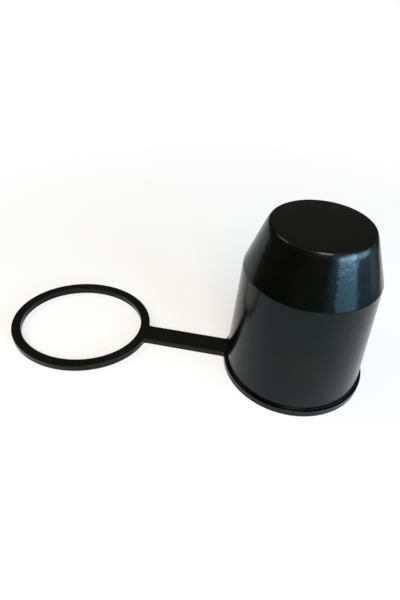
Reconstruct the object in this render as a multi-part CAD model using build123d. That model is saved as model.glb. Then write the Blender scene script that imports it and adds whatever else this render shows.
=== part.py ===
"""Tow ball cover: one soft moulding of cap, strap and retaining ring.

The cap drops over a tow ball. Its rim, the strap and the ring are one flat web, and the
strap keeps the cover on the tow bar, with the ring round the neck below the ball.

Millimetres. Z is the cap's axis, with its open mouth on Z = 0, and the ring lies towards -X.
"""
import os

from build123d import *

# The ball and how the cap fits it
ball_diameter = 50.0
mouth_clearance = 2.4    # gap round the ball at the mouth, so that the cap starts easily
shoulder_grip = 0.5      # how far the wall has closed in on the ball's radius at the shoulder
wall_thickness = 2.0

# Cap, measured outside
shoulder_height = 51.5   # from the mouth to the edge between the wall and the cone
top_radius = 19.3        # where the cone would meet the flat top
cap_height = 71.1
shoulder_round = 1.5
top_edge_round = 2.0
inside_round = 1.0       # corners of the cavity

# Flat web of rim, strap and ring
web_thickness = 3.0
rim_overhang = 1.1       # rim beyond the foot of the wall
strap_length = 37.0      # along its middle, from the rim to the ring
strap_width = 9.0
ring_length = 66.0       # outside of the oval, along the strap
ring_width = 58.6        # outside of the oval, across the strap
ring_band = 4.25         # from the ring's outside to its hole
strap_corner_round = 1.2
web_edge_bevel = 0.3
rim_root_bevel = 0.4     # where the wall rises from the rim
mouth_edge_bevel = 0.5   # lead-in for the ball

# Worked out from the sizes above
mouth_radius = ball_diameter / 2 + mouth_clearance
base_radius = mouth_radius + wall_thickness
shoulder_radius = ball_diameter / 2 - shoulder_grip + wall_thickness
wall_draft = (base_radius - shoulder_radius) / shoulder_height
rim_radius = base_radius + rim_overhang
ring_centre = -(rim_radius + strap_length + ring_length / 2)


def cap_section(foot):
    """Section across the cap's outside, with sharp corners, from the height of its foot to the top."""
    foot_radius = base_radius - foot * wall_draft
    left = [(-foot_radius, foot), (-shoulder_radius, shoulder_height), (-top_radius, cap_height)]
    right = [(-x, z) for x, z in reversed(left)]
    return make_face(Plane.XZ * Polyline(*left, *right, close=True))


def rounded(section, at_shoulder, at_top):
    """Round the shoulder and top corners of a section across the cap."""
    section = fillet(section.vertices().group_by(Axis.Z)[1], at_shoulder)
    return fillet(section.vertices().group_by(Axis.Z)[-1], at_top)


def turned(section):
    """Turn the right half of a section across the cap about the cap's axis."""
    box = section.bounding_box()
    right_half = Plane.XZ * Pos(box.max.X / 2, box.center().Z) * Rectangle(box.max.X, box.size.Z)
    return revolve(section & right_half, Axis.Z)


def cap_outside():
    return turned(rounded(cap_section(0), shoulder_round, top_edge_round))


def cap_inside():
    """The cavity: an even wall inside the cap, and open through the mouth."""
    below_mouth = 2 * wall_thickness
    inset = offset(cap_section(-below_mouth), -wall_thickness, kind=Kind.INTERSECTION)
    return turned(rounded(inset, inside_round, inside_round))


def root_cone():
    """Carries the wall into the top of the rim with a bevel."""
    wall_radius = base_radius - web_thickness * wall_draft
    bottom, top = wall_radius + rim_root_bevel, wall_radius - rim_root_bevel
    return Pos(0, 0, web_thickness + rim_root_bevel) * Cone(bottom, top, 2 * rim_root_bevel)


def mouth_cone():
    """Opens the edge of the mouth with a bevel. The cone runs past the edge at both ends."""
    bottom, top = mouth_radius + 3 * mouth_edge_bevel, mouth_radius - mouth_edge_bevel
    return Cone(bottom, top, 4 * mouth_edge_bevel)


def flat_web():
    """Rim, strap and oval ring as one flat plate, before the cavity is cut through the rim."""
    at_ring = Pos(ring_centre, 0)
    rim = Circle(rim_radius)
    ring = at_ring * Ellipse(ring_length / 2, ring_width / 2)
    hole = at_ring * Ellipse(ring_length / 2 - ring_band, ring_width / 2 - ring_band)
    strap_end = ring_centre + ring_length / 2 - ring_band / 2
    strap = Pos(strap_end / 2, 0) * Rectangle(-strap_end, strap_width)
    web = extrude(rim + strap + ring - hole, web_thickness)

    strap_side = strap_width / 2
    uprights = web.edges().filter_by(Axis.Z)
    strap_corners = [e for e in uprights if abs(abs(e.center().Y) - strap_side) < strap_side / 100]
    web = fillet(strap_corners, strap_corner_round)
    return chamfer(web.faces().filter_by(Axis.Z).edges(), web_edge_bevel)


def tow_ball_cover():
    return flat_web() + cap_outside() + root_cone() - cap_inside() - mouth_cone()


os.makedirs("parts", exist_ok=True)
export_step(tow_ball_cover(), "parts/tow_ball_cover.step")
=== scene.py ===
"""A tow ball cover in soft black vinyl, lying on a white table under soft studio light.

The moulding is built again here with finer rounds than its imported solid. Metres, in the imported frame:
Z is the cap's axis, with its open mouth on Z = 0, and the ring lies towards -X.
"""
import math

import bmesh
import bpy
from mathutils import Matrix, Vector


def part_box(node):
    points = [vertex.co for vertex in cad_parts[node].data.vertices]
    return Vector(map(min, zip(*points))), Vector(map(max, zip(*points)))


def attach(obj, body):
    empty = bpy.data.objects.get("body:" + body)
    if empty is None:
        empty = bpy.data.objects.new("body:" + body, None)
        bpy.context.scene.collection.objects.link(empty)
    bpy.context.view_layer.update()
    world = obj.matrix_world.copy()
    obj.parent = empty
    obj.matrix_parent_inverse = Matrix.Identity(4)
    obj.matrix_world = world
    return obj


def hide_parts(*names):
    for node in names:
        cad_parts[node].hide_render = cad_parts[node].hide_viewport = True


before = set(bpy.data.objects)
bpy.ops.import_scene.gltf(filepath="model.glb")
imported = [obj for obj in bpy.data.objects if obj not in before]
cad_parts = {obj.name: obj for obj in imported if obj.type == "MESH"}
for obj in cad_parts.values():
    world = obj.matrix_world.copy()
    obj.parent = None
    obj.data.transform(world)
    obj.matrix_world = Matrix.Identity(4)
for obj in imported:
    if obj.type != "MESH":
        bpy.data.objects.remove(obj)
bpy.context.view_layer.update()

NODE = "tow_ball_cover"
mm = 0.001

# Cap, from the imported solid's box and the sizes of its section
low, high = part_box(NODE)
cap_height = high.z
rim_radius = high.y
wall_thickness = 2.0 * mm
rim_overhang = 1.1 * mm
base_radius = rim_radius - rim_overhang
shoulder_radius = 26.5 * mm
shoulder_height = 51.5 * mm
top_radius = 19.3 * mm
shoulder_round = 1.5 * mm
top_edge_round = 1.4 * mm
brow_height = 69.3 * mm    # where the cone leans in towards the top's edge
brow_lean = math.radians(30)
brow_round = 14.0 * mm
inside_round = 1.0 * mm
mouth_edge_round = 0.5 * mm

# Flat web of rim, strap and ring
web_thickness = 3.0 * mm
strap_width = 9.0 * mm
strap_corner_round = 1.2 * mm
ring_length = 66.0 * mm
ring_width = 58.6 * mm
ring_band = 4.25 * mm
ring_centre = low.x + ring_length / 2
web_edge_round = 0.25 * mm
rim_root_round = 0.15 * mm

# How finely the moulding is divided, and how close the points are that its seams join
turn_steps = 192
round_steps = 8
corner_steps = 8
seam_distance = 0.001 * mm

# Table, whose front right corner is near the cover
table_corners = [(0.10, -0.233), (0.36, 2.1), (-1.3, 2.1), (-1.3, 0.635)]
table_gap = 0.1 * mm

# Lamps and camera
lamp_distance = 0.75
camera_place = Vector((-17.55, -145.86, 147.70)) * mm
camera_look = Vector((-0.13354, 0.76436, -0.63081))
camera_roll = math.radians(2.67)
camera_lens = 26.594    # millimetres
camera_sensor = 36.0    # millimetres, along the picture's long side
camera_clip_start = 1 * mm


def left_of(way):
    """The way after a quarter turn to the left."""
    return Vector((-way.y, way.x))


def right_of(way):
    """The way after a quarter turn to the right."""
    return Vector((way.y, -way.x))


def turned_by(way, angle):
    """The way after an anticlockwise turn."""
    return Matrix.Rotation(angle, 2) @ way


def rounded(corners, radii):
    """A section along its corners, the inner ones rounded.

    Gives each point with its normal, which is on the right of the way.
    """
    corners = [Vector(corner) for corner in corners]
    ways = [(after - before).normalized() for before, after in zip(corners, corners[1:])]
    section = [(corners[0], right_of(ways[0]))]
    for corner, way_in, way_out, radius in zip(corners[1:], ways, ways[1:], radii):
        turn = math.atan2(way_in.cross(way_out), way_in.dot(way_out))
        side = math.copysign(radius, turn)
        start = corner - way_in * abs(side * math.tan(turn / 2))
        centre = start + left_of(way_in) * side
        for step in range(round_steps + 1):
            heading = turned_by(way_in, turn * step / round_steps)
            section.append((centre - left_of(heading) * side, right_of(heading)))
    section.append((corners[-1], right_of(ways[-1])))
    return section


def ellipse_stations(centre_x, half_x, half_y, start, end, steps):
    """Stations along part of an ellipse: each point with the way out of it."""
    stations = []
    for step in range(steps + 1):
        angle = start + (end - start) * step / steps
        point = Vector((centre_x + half_x * math.cos(angle), half_y * math.sin(angle)))
        out = Vector((math.cos(angle) / half_x, math.sin(angle) / half_y)).normalized()
        stations.append((point, out))
    return stations


def corner_angle(half_x, half_y):
    """Angle along an ellipse, from the strap's middle, where the strap's rounded corner touches it."""
    near, far = 0.0, math.pi / 2
    height = strap_width / 2 + strap_corner_round
    halvings = 60
    for _ in range(halvings):
        middle = (near + far) / 2
        point, out = ellipse_stations(0, half_x, half_y, middle, middle, 1)[0]
        if point.y + out.y * strap_corner_round < height:
            near = middle
        else:
            far = middle
    return near


def corner_stations(touch, start, end):
    """Stations round a hollow corner of the strap, from the place on the rim or ring that it touches."""
    point, out = touch
    centre = point + out * strap_corner_round
    stations = []
    for step in range(corner_steps + 1):
        angle = start + (end - start) * step / corner_steps
        arm = Vector((math.cos(angle), math.sin(angle)))
        stations.append((centre + arm * strap_corner_round, -arm))
    return stations


def web_outline():
    """Stations round the web's outside: rim, strap and ring, anticlockwise from the rim's far end."""
    half_length, half_width = ring_length / 2, ring_width / 2
    rim_angle = math.pi - corner_angle(rim_radius, rim_radius)
    ring_angle = corner_angle(half_length, half_width)
    rim = ellipse_stations(0, rim_radius, rim_radius, 0, rim_angle, turn_steps // 2)
    ring = ellipse_stations(ring_centre, half_length, half_width, ring_angle, math.pi, turn_steps // 2)
    ring_out = ring[0][1]
    straight_down = -math.pi / 2
    rim_corner = corner_stations(rim[-1], rim_angle - math.pi, straight_down)
    ring_corner = corner_stations(ring[0], straight_down, math.atan2(ring_out.y, ring_out.x) - math.pi)
    upper = rim[:-1] + rim_corner + ring_corner + ring[1:]
    mirror = Matrix.Diagonal((1, -1))
    lower = [(mirror @ point, mirror @ out) for point, out in reversed(upper[1:-1])]
    return upper + lower


def ring_hole():
    """Stations round the ring's hole, clockwise, each with its way into the hole."""
    half_length, half_width = ring_length / 2 - ring_band, ring_width / 2 - ring_band
    around = ellipse_stations(ring_centre, half_length, half_width, 0, -2 * math.pi, turn_steps)
    return [(point, -out) for point, out in around[:-1]]


def cap_turn():
    """Stations of a full turn about the cap's axis."""
    ways = (2 * math.pi * step / turn_steps for step in range(turn_steps))
    return [(Vector((0, 0)), Vector((math.cos(way), math.sin(way)))) for way in ways]


def inset_corner(before, corner, after):
    """Where a corner of the cap's outside comes on its inside, one wall thickness in."""
    way_in, way_out = (corner - before).normalized(), (after - corner).normalized()
    inward = left_of(way_in) + left_of(way_out)
    return corner + inward * wall_thickness / (1 + way_in.dot(way_out))


def cap_sections():
    """Sections of the cap's outside and inside.

    The outside runs from the rim to the top's centre, and the inside from there back to the mouth.
    """
    foot = Vector((base_radius, 0))
    shoulder = Vector((shoulder_radius, shoulder_height))
    top_edge = Vector((top_radius, cap_height))
    top_centre = Vector((0, cap_height))
    wall = shoulder - foot
    wall_on_rim = foot + wall * web_thickness / wall.y
    root = wall_on_rim + Vector((rim_root_round, 0))
    brow = shoulder.lerp(top_edge, (brow_height - shoulder_height) / (cap_height - shoulder_height))
    brow_end = brow + Vector((-math.tan(brow_lean), 1)) * (cap_height - brow_height)
    outside = rounded([root, wall_on_rim, shoulder, brow, brow_end, top_centre],
                      [rim_root_round, shoulder_round, brow_round, top_edge_round])

    inside_centre = top_centre - Vector((0, wall_thickness))
    inside_top = inset_corner(shoulder, top_edge, top_centre)
    inside_shoulder = inset_corner(foot, shoulder, top_edge)
    mouth = foot - Vector((wall_thickness * wall.length / wall.y, 0))
    underside = mouth + Vector((mouth_edge_round, 0))
    inside = rounded([inside_centre, inside_top, inside_shoulder, mouth, underside],
                     [inside_round, inside_round, mouth_edge_round])
    return outside, inside


def edge_section():
    """Section of the web's rounded edge, from the underside to the top, outwards from its outline."""
    return rounded([(-web_edge_round, 0), (0, 0), (0, web_thickness), (-web_edge_round, web_thickness)],
                   [web_edge_round, web_edge_round])


def sweep(shape, stations, section):
    """Carry a section round closed stations. Gives the loops of edges at the section's start and end."""
    normal_layer = shape.verts.layers.float_vector["surface_normal"]
    rows = []
    for origin, out in stations:
        row = []
        for point, normal in section:
            flat = origin + out * point.x
            vertex = shape.verts.new((flat.x, flat.y, point.y))
            vertex[normal_layer] = (out.x * normal.x, out.y * normal.x, normal.y)
            row.append(vertex)
        rows.append(row)
    pairs = list(zip(rows, rows[1:] + rows[:1]))
    for row, after in pairs:
        for place in range(len(section) - 1):
            shape.faces.new((row[place], after[place], after[place + 1], row[place + 1]))
    return [[shape.edges.get((row[end], after[end])) for row, after in pairs] for end in (0, -1)]


def moulding():
    """The whole cover as one closed mesh with the normals of its true surface."""
    shape = bmesh.new()
    normal_layer = shape.verts.layers.float_vector.new("surface_normal")
    outside, inside = cap_sections()
    root_loop, _ = sweep(shape, cap_turn(), outside)
    _, mouth_loop = sweep(shape, cap_turn(), inside)
    outline_under, outline_top = sweep(shape, web_outline(), edge_section())
    hole_under, hole_top = sweep(shape, ring_hole(), edge_section())
    web_top = outline_top + hole_top + root_loop
    web_under = outline_under + hole_under + mouth_loop
    bmesh.ops.triangle_fill(shape, edges=web_top, use_beauty=True, normal=(0, 0, 1))
    bmesh.ops.triangle_fill(shape, edges=web_under, use_beauty=True, normal=(0, 0, -1))
    bmesh.ops.remove_doubles(shape, verts=shape.verts, dist=seam_distance)
    for face in shape.faces:
        face.smooth = True
    normals = [Vector(vertex[normal_layer]) for vertex in shape.verts]

    mesh = bpy.data.meshes.new("cover")
    shape.to_mesh(mesh)
    shape.free()
    mesh.normals_split_custom_set_from_vertices(normals)
    cover = bpy.data.objects.new("cover", mesh)
    bpy.context.scene.collection.objects.link(cover)
    return cover


class Shade:
    """An output socket of a node tree. Arithmetic on it adds Math nodes."""

    def __init__(self, tree, socket=None):
        self.tree = tree
        self.socket = socket

    def node(self, kind, settings=None, inputs=None, output=0):
        """Add a node: its settings first, then the values or links of its sockets."""
        added = self.tree.nodes.new(kind)
        for name, value in (settings or {}).items():
            setattr(added, name, value)
        for name, value in (inputs or {}).items():
            if isinstance(value, Shade):
                self.tree.links.new(value.socket, added.inputs[name])
            else:
                added.inputs[name].default_value = value
        return Shade(self.tree, added.outputs[output] if added.outputs else None)

    def math(self, operation, *terms):
        return self.node("ShaderNodeMath", {"operation": operation}, dict(enumerate(terms)))

    def __add__(self, other):
        return self.math("ADD", self, other)

    def __sub__(self, other):
        return self.math("SUBTRACT", self, other)

    def __rsub__(self, other):
        return self.math("SUBTRACT", other, self)

    def __mul__(self, other):
        return self.math("MULTIPLY", self, other)

    __radd__ = __add__
    __rmul__ = __mul__

    def between(self, start, end):
        """0 up to the start, 1 from the end, and smooth between them."""
        return self.node("ShaderNodeMapRange", {"interpolation_type": "SMOOTHSTEP"},
                         {"Value": self, "From Min": start, "From Max": end})

    def fade(self, first, second):
        """The first colour where this is 0, and the second where it is 1."""
        first_socket, second_socket, colour_output = 6, 7, 2    # a Mix node's sockets for colours
        return self.node("ShaderNodeMix", {"data_type": "RGBA"},
                         {"Factor": self, first_socket: first, second_socket: second}, colour_output)


def fresh_nodes(owner):
    """An empty node tree for a material or a world."""
    owner.use_nodes = True
    owner.node_tree.nodes.clear()
    return Shade(owner.node_tree)


def vinyl_material():
    """Soft black vinyl: a gloss skin with a painted slate tint on its reflections, standing in for a
    blue-lit floor, fine orange peel, faint ripples and smudges.
    """
    peel_size, peel_depth = 0.8 * mm, 0.021 * mm
    ripple_size, ripple_depth = 2.2 * mm, 0.045 * mm
    smudge_size = 16 * mm
    smudge_start, smudge_end = 0.35, 0.65
    clean_black = (0.0008, 0.0009, 0.0007, 1)
    smudged_black = (0.0026, 0.0025, 0.0017, 1)
    # Painted reflection: this tint turns every reflection slate, standing in for light reflected from a
    # blue-lit floor.
    painted_reflection_tint = (0.76, 0.97, 1.0, 1)
    gloss_roughness, smudge_roughness = 0.13, 0.08

    material = bpy.data.materials.new("soft_black_vinyl")
    nodes = fresh_nodes(material)
    place = nodes.node("ShaderNodeTexCoord", output="Object")

    def noise(size, detail):
        inputs = {"Vector": place, "Scale": 1 / size, "Detail": detail}
        return nodes.node("ShaderNodeTexNoise", inputs=inputs)

    peel = noise(peel_size, detail=2.0)
    ripple = noise(ripple_size, detail=1.0)
    smudge = noise(smudge_size, detail=4.0)
    height = peel * peel_depth + ripple * ripple_depth
    bump = nodes.node("ShaderNodeBump", inputs={"Height": height, "Distance": 1.0, "Strength": 1.0})
    skin = nodes.node("ShaderNodeBsdfPrincipled", inputs={
        "Base Color": smudge.between(smudge_start, smudge_end).fade(clean_black, smudged_black),
        "Roughness": gloss_roughness + smudge * smudge_roughness,
        "IOR": 1.30,
        "Specular Tint": painted_reflection_tint,
        "Normal": bump,
    })
    nodes.node("ShaderNodeOutputMaterial", inputs={"Surface": skin})
    return material


def table_material():
    """White table top: partly lit and shaded close to the cover, and plain white further out."""
    lit_white = (0.88, 0.94, 1.0, 1)    # a little cool, to look white under the warm lamps
    plain_white = (1, 1, 1, 1)
    near_lit_share = 0.4
    near_distance, far_distance = 0.10, 0.30

    material = bpy.data.materials.new("white_table")
    nodes = fresh_nodes(material)
    place = nodes.node("ShaderNodeNewGeometry", output="Position")
    distance = nodes.node("ShaderNodeVectorMath", {"operation": "LENGTH"}, {0: place}, output="Value")
    seen = nodes.node("ShaderNodeLightPath", output="Is Camera Ray")
    mirrored = nodes.node("ShaderNodeLightPath", output="Is Glossy Ray")
    passed = nodes.node("ShaderNodeLightPath", output="Is Transmission Ray")
    lit_share = near_lit_share * (1 - distance.between(near_distance, far_distance))
    plain_share = (seen + mirrored + passed) * (1 - lit_share)
    lit = nodes.node("ShaderNodeBsdfDiffuse", inputs={"Color": lit_white})
    plain = nodes.node("ShaderNodeEmission", inputs={"Color": plain_white, "Strength": 1.0})
    mix = nodes.node("ShaderNodeMixShader", inputs={0: plain_share, 1: lit, 2: plain})
    nodes.node("ShaderNodeOutputMaterial", inputs={"Surface": mix})
    return material


def table_top():
    """A white table just under the cover."""
    shape = bmesh.new()
    shape.faces.new([shape.verts.new((x, y, low.z - table_gap)) for x, y in table_corners])
    mesh = bpy.data.meshes.new("table_top")
    shape.to_mesh(mesh)
    shape.free()
    table = bpy.data.objects.new("table_top", mesh)
    table.data.materials.append(table_material())
    bpy.context.scene.collection.objects.link(table)


def put(name, data, place, way, roll):
    """Put a lamp or camera in its place, turned along the way and then rolled about it."""
    holder = bpy.data.objects.new(name, data)
    holder.location = place
    holder.rotation_mode = "QUATERNION"
    rolled = Matrix.Rotation(roll, 3, "Z").to_quaternion()
    holder.rotation_quaternion = way.to_track_quat("-Z", "Y") @ rolled
    bpy.context.scene.collection.objects.link(holder)
    return holder


def add_panel(name, seen_at, spans, radiance, colour, tilt=0):
    """A flat lamp turned to the cap, with its brightness as seen from there.

    It is seen at an azimuth and an elevation, and spans a width and a height, all in degrees.
    The azimuth turns from the camera's side (-Y) to the right (+X).
    """
    turn, rise = (math.radians(angle) for angle in seen_at)
    width, height = (2 * lamp_distance * math.tan(math.radians(angle / 2)) for angle in spans)
    level = lamp_distance * math.cos(rise)
    arm = Vector((level * math.sin(turn), -level * math.cos(turn), lamp_distance * math.sin(rise)))
    lamp = bpy.data.lights.new(name, "AREA")
    lamp.shape = "RECTANGLE"
    lamp.size, lamp.size_y = width, height
    lamp.energy = radiance * math.pi * width * height
    lamp.color = colour
    put(name, lamp, Vector((0, 0, cap_height)) + arm, -arm, math.radians(tilt))


def room():
    """A room with dim walls and a pale ceiling, told apart by the height of the way to them."""
    wall_start, wall_end = 0.1, 0.4
    ceiling_start, ceiling_end = 0.46, 0.9

    world = bpy.data.worlds.new("room")
    nodes = fresh_nodes(world)
    way = nodes.node("ShaderNodeTexCoord", output="Generated")
    height = nodes.node("ShaderNodeSeparateXYZ", inputs={"Vector": way}, output="Z")
    dim = nodes.node("ShaderNodeBackground", inputs={"Color": (0.92, 1.0, 0.88, 1), "Strength": 0.10})
    walls = nodes.node("ShaderNodeBackground", inputs={"Color": (1.0, 0.97, 0.8, 1), "Strength": 0.15})
    ceiling = nodes.node("ShaderNodeBackground", inputs={"Color": (1.0, 0.9, 0.70, 1), "Strength": 0.36})
    lower = nodes.node("ShaderNodeMixShader", inputs={
        0: height.between(wall_start, wall_end), 1: dim, 2: walls})
    whole = nodes.node("ShaderNodeMixShader", inputs={
        0: height.between(ceiling_start, ceiling_end), 1: lower, 2: ceiling})
    nodes.node("ShaderNodeOutputWorld", inputs={"Surface": whole})
    bpy.context.scene.world = world


def studio_light():
    """Warm lamps on the left and in front, and a cool window on the right, brighter above its sill."""
    warm = (1.0, 0.85, 0.67)
    sky = (0.49, 0.78, 1.0)
    shade = (0.34, 0.71, 1.0)
    add_panel("left_lamp", seen_at=(-85, 31), spans=(26, 18), radiance=7.0, colour=warm)
    add_panel("front_lamp", seen_at=(14.5, 38), spans=(21, 19), radiance=19.0, colour=warm)
    add_panel("front_lamp_sides", seen_at=(20, 38), spans=(50, 19), radiance=1.7, colour=warm)
    add_panel("front_left_fill", seen_at=(-40, 38), spans=(66, 15), radiance=1.0, colour=warm)
    add_panel("window_above", seen_at=(55, 9.0), spans=(34, 13), radiance=23.0, colour=sky, tilt=-10)
    add_panel("window_beside", seen_at=(78.5, 5.4), spans=(34, 10), radiance=11.0, colour=sky, tilt=-14)
    add_panel("window_edge", seen_at=(99, 0.5), spans=(12, 9), radiance=3.8, colour=sky, tilt=-14)
    add_panel("window_below", seen_at=(55, -3.2), spans=(34, 10), radiance=4.6, colour=shade, tilt=-8)
    add_panel("window_side", seen_at=(90, -8), spans=(48, 10), radiance=0.6, colour=shade, tilt=-8)
    add_panel("window_far", seen_at=(113, -2), spans=(22, 34), radiance=0.35, colour=sky)
    add_panel("window_tall", seen_at=(62, 37), spans=(70, 52), radiance=0.5, colour=sky)
    add_panel("window_left", seen_at=(31, 11), spans=(14, 18), radiance=1.3, colour=shade)
    add_panel("window_left_foot", seen_at=(31, -2), spans=(13, 9), radiance=0.45, colour=shade)


def photo_camera():
    """The camera, at the photograph's viewing angle."""
    camera = bpy.data.cameras.new("camera")
    camera.lens = camera_lens
    camera.sensor_width = camera_sensor
    camera.clip_start = camera_clip_start
    bpy.context.scene.camera = put("camera", camera, camera_place, camera_look, camera_roll)


cover = moulding()
cover.data.materials.append(vinyl_material())
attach(cover, "root")
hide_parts(NODE)
table_top()
room()
studio_light()
photo_camera()
bpy.context.scene.view_settings.view_transform = "Standard"
